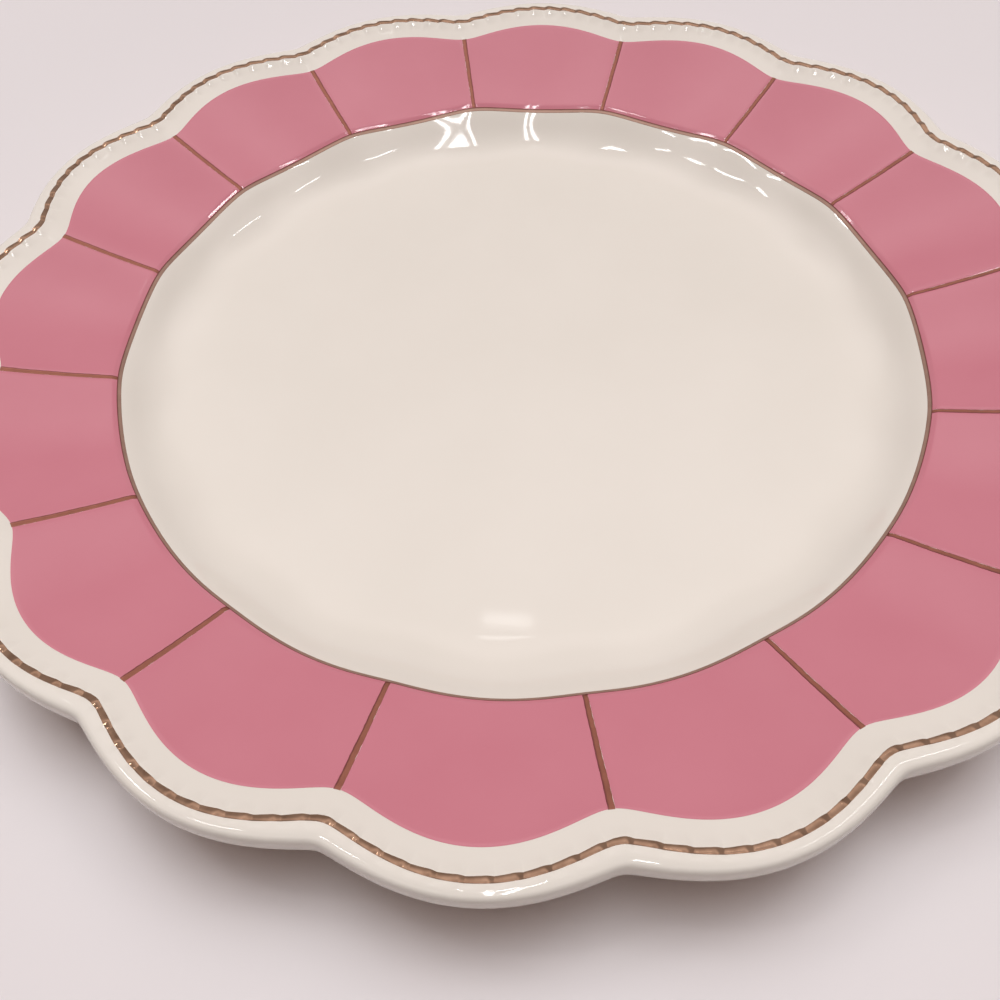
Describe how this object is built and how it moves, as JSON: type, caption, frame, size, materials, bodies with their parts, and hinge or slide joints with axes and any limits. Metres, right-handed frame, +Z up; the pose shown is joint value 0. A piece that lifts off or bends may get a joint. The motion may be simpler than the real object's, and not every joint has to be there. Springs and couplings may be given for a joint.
{
  "type": "scalloped dessert plate",
  "caption": "Round ceramic dessert plate with a scalloped fluted rim, pink panels between gold lines, a wide flat well and a foot ring.",
  "frame": {"origin": "centre of the foot ring's resting face", "axes": "+Z up through the centre of the well, +X through a scallop crest"},
  "size_m": [0.203, 0.203, 0.02],
  "materials": {
    "ivory_glaze": "gloss glaze",
    "pink_enamel": "gloss enamel",
    "gold_lustre": "fired rose gold, satin"
  },
  "bodies": {
    "root": {"plate_body": "ivory_glaze", "pink_panel_01": "pink_enamel", "pink_panel_02": "pink_enamel", "pink_panel_03": "pink_enamel", "pink_panel_04": "pink_enamel", "pink_panel_05": "pink_enamel", "pink_panel_06": "pink_enamel", "pink_panel_07": "pink_enamel", "pink_panel_08": "pink_enamel", "pink_panel_09": "pink_enamel", "pink_panel_10": "pink_enamel", "pink_panel_11": "pink_enamel", "pink_panel_12": "pink_enamel", "pink_panel_13": "pink_enamel", "pink_panel_14": "pink_enamel", "pink_panel_15": "pink_enamel", "pink_panel_16": "pink_enamel", "gold_spoke_01": "gold_lustre", "gold_spoke_02": "gold_lustre", "gold_spoke_03": "gold_lustre", "gold_spoke_04": "gold_lustre", "gold_spoke_05": "gold_lustre", "gold_spoke_06": "gold_lustre", "gold_spoke_07": "gold_lustre", "gold_spoke_08": "gold_lustre", "gold_spoke_09": "gold_lustre", "gold_spoke_10": "gold_lustre", "gold_spoke_11": "gold_lustre", "gold_spoke_12": "gold_lustre", "gold_spoke_13": "gold_lustre", "gold_spoke_14": "gold_lustre", "gold_spoke_15": "gold_lustre", "gold_spoke_16": "gold_lustre", "well_gold_line": "gold_lustre", "rim_gold_line": "gold_lustre"}
  },
  "joints": []
}
